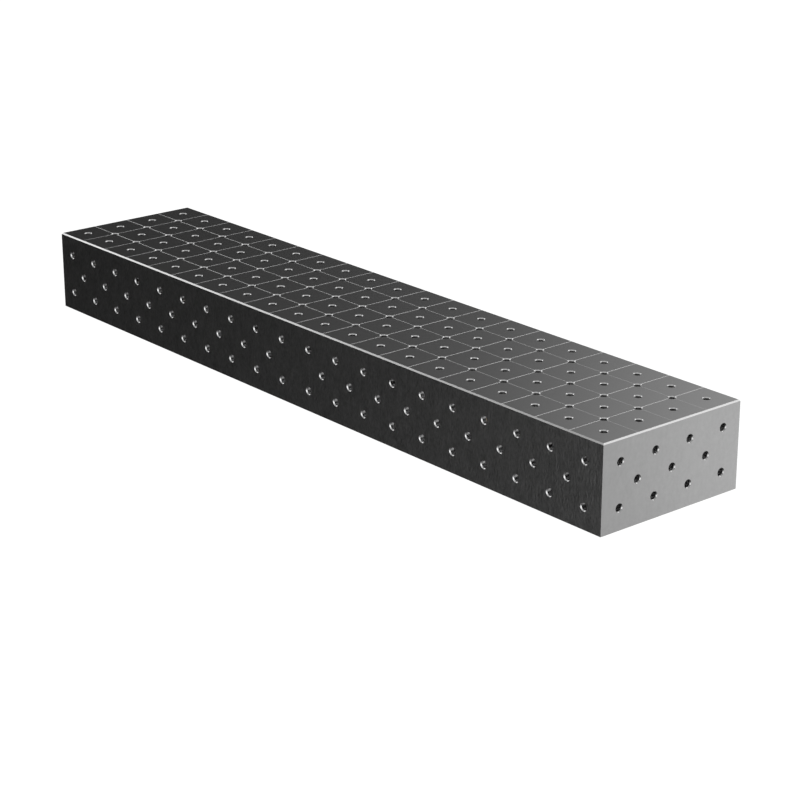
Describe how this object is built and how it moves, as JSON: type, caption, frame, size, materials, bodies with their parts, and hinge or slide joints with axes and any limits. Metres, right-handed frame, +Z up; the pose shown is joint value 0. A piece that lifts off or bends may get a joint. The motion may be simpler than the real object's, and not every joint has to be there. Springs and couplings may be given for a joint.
{
  "type": "welding table block",
  "caption": "Long welded steel box, open underneath, with a staggered grid of chamfered clamping holes in its top, sides and ends, scribed square lines on top and ribs inside.",
  "frame": {"origin": "centre of the footprint, on the surface that the lower rim stands on", "axes": "+X along the block, towards the right end; +Y across it, from the front side to the rear side; +Z up, out of the working face"},
  "size_m": [2, 0.4, 0.2],
  "materials": {
    "blackened_steel": "ground, then dark nitrided, satin",
    "rib_steel": "as rolled, dark nitrided",
    "weld_metal": "as welded"
  },
  "bodies": {
    "root": {"top_plate": "blackened_steel", "front_side_plate": "blackened_steel", "rear_side_plate": "blackened_steel", "left_end_plate": "blackened_steel", "right_end_plate": "blackened_steel", "cross_rib_1": "rib_steel", "cross_rib_2": "rib_steel", "cross_rib_3": "rib_steel", "cross_rib_4": "rib_steel", "cross_rib_5": "rib_steel", "cross_rib_6": "rib_steel", "cross_rib_7": "rib_steel", "cross_rib_8": "rib_steel", "top_seam_weld": "weld_metal", "corner_weld_front_left": "weld_metal", "corner_weld_front_right": "weld_metal", "corner_weld_rear_left": "weld_metal", "corner_weld_rear_right": "weld_metal", "cross_rib_1_welds": "weld_metal", "cross_rib_2_welds": "weld_metal", "cross_rib_3_welds": "weld_metal", "cross_rib_4_welds": "weld_metal", "cross_rib_5_welds": "weld_metal", "cross_rib_6_welds": "weld_metal", "cross_rib_7_welds": "weld_metal", "cross_rib_8_welds": "weld_metal"}
  },
  "joints": []
}
